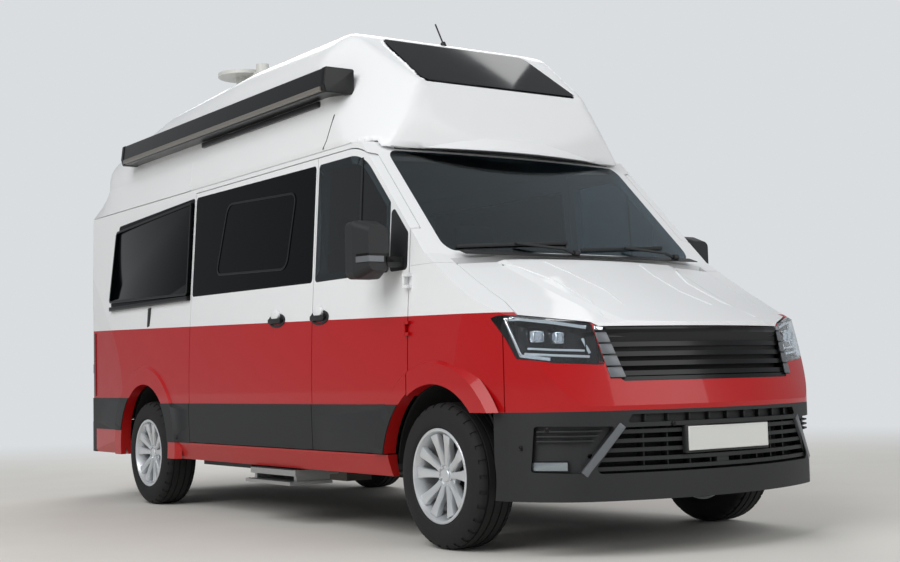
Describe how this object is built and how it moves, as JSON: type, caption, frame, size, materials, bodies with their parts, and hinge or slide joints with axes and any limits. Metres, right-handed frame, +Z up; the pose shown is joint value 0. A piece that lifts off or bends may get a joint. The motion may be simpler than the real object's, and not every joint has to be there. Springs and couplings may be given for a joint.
{
  "type": "camper van",
  "caption": "High-roof camper van with opening cab doors, rear doors and bonnet, steered front wheels, sliding side door, side awning and slide-out entry step.",
  "frame": {"origin": "on the ground under the middle of the van", "axes": "+X forward, +Y to the van's left, +Z up"},
  "size_m": [5.986, 2.43, 3.0939],
  "materials": {
    "aerial_black": "matt",
    "alloy": "satin",
    "awning_black": "black anodised",
    "black_plastic": "matt",
    "cast_iron": "cast",
    "chassis_steel": "black coated",
    "clear_lens": "clear",
    "dark_glass": "tinted",
    "dish_white": "gloss",
    "exhaust_steel": "dull",
    "gloss_black": "gloss",
    "lamp_black": "gloss",
    "red_lens": "gloss",
    "red_paint": "gloss",
    "roof_white": "gloss",
    "seat_fabric": "woven",
    "step_aluminium": "satin",
    "two_tone_paint": "gloss white over gloss red, split at the belt line",
    "tyre": "matt",
    "white_paint": "gloss"
  },
  "bodies": {
    "body": {"aerial": "aerial_black", "awning": "awning_black", "cab_frame": "white_paint", "dashboard": "black_plastic", "engine": "cast_iron", "exhaust": "exhaust_steel", "floor_pan": "chassis_steel", "front_bumper": "red_paint", "front_suspension": "chassis_steel", "grille": "gloss_black", "headlamp_lenses": "clear_lens", "headlamps": "lamp_black", "intake_grille": "black_plastic", "lower_bumper": "black_plastic", "rear_axle": "chassis_steel", "rear_bumper": "black_plastic", "roof_cap": "roof_white", "roof_window": "dark_glass", "satellite_dish": "dish_white", "seat_left": "seat_fabric", "seat_right": "seat_fabric", "side_wall_left": "two_tone_paint", "side_wall_right": "two_tone_paint", "side_windows": "dark_glass", "sliding_door": "two_tone_paint", "sliding_door_glass": "dark_glass", "steering_wheel": "black_plastic", "step_rails": "chassis_steel", "tail_lamps": "red_lens", "underfloor_tanks": "black_plastic", "wheel_housings": "black_plastic", "windscreen": "dark_glass", "wing_left": "red_paint", "wing_right": "red_paint"},
    "bonnet": {"bonnet": "white_paint"},
    "door_right": {"door_right": "two_tone_paint", "door_glass_right": "dark_glass", "mirror_right": "black_plastic"},
    "door_left": {"door_left": "two_tone_paint", "door_glass_left": "dark_glass", "mirror_left": "black_plastic"},
    "rear_door_right": {"rear_door_right": "two_tone_paint", "rear_glass_right": "dark_glass"},
    "rear_door_left": {"rear_door_left": "two_tone_paint", "rear_glass_left": "dark_glass"},
    "entry_step": {"entry_step": "step_aluminium"},
    "knuckle_right": {"knuckle_right": "chassis_steel"},
    "knuckle_left": {"knuckle_left": "chassis_steel"},
    "wheel_front_right": {"tyre_front_right": "tyre", "rim_front_right": "alloy"},
    "wheel_front_left": {"tyre_front_left": "tyre", "rim_front_left": "alloy"},
    "wheel_rear_right": {"tyre_rear_right": "tyre", "rim_rear_right": "alloy"},
    "wheel_rear_left": {"tyre_rear_left": "tyre", "rim_rear_left": "alloy"}
  },
  "joints": [
    {"name": "door_right_swing", "type": "hinge", "parent": "body", "child": "door_right", "pos_m": [1.761, -1.012, 1.1], "axis": [0, 0, 1], "range_deg": [0, 68]},
    {"name": "door_left_swing", "type": "hinge", "parent": "body", "child": "door_left", "pos_m": [1.761, 1.012, 1.1], "axis": [0, 0, -1], "range_deg": [0, 68]},
    {"name": "rear_door_right_swing", "type": "hinge", "parent": "body", "child": "rear_door_right", "pos_m": [-2.933, -0.827, 1.3], "axis": [0, 0, 1], "range_deg": [0, 180]},
    {"name": "rear_door_left_swing", "type": "hinge", "parent": "body", "child": "rear_door_left", "pos_m": [-2.933, 0.827, 1.3], "axis": [0, 0, -1], "range_deg": [0, 180]},
    {"name": "bonnet_lift", "type": "hinge", "parent": "body", "child": "bonnet", "pos_m": [2.043, 0, 1.392], "axis": [0, -1, 0], "range_deg": [0, 55]},
    {"name": "steer_left", "type": "hinge", "parent": "body", "child": "knuckle_left", "pos_m": [1.997, 0.79, 0.357], "axis": [0, 0, 1], "range_deg": [-35, 35]},
    {"name": "steer_right", "type": "hinge", "parent": "body", "child": "knuckle_right", "pos_m": [1.997, -0.79, 0.357], "axis": [0, 0, 1], "range_deg": [-35, 35]},
    {"name": "entry_step_slide", "type": "slide", "parent": "body", "child": "entry_step", "axis": [0, -1, 0], "range_m": [0, 0.25]},
    {"name": "wheel_front_right_spin", "type": "hinge", "parent": "knuckle_right", "child": "wheel_front_right", "pos_m": [1.997, -0.876, 0.357], "axis": [0, 1, 0], "continuous": true},
    {"name": "wheel_front_left_spin", "type": "hinge", "parent": "knuckle_left", "child": "wheel_front_left", "pos_m": [1.997, 0.876, 0.357], "axis": [0, 1, 0], "continuous": true},
    {"name": "wheel_rear_right_spin", "type": "hinge", "parent": "body", "child": "wheel_rear_right", "pos_m": [-1.643, -0.876, 0.357], "axis": [0, 1, 0], "continuous": true},
    {"name": "wheel_rear_left_spin", "type": "hinge", "parent": "body", "child": "wheel_rear_left", "pos_m": [-1.643, 0.876, 0.357], "axis": [0, 1, 0], "continuous": true}
  ],
  "couplings": [
    {"joint": "steer_right", "follows": "steer_left", "ratio": 1}
  ]
}
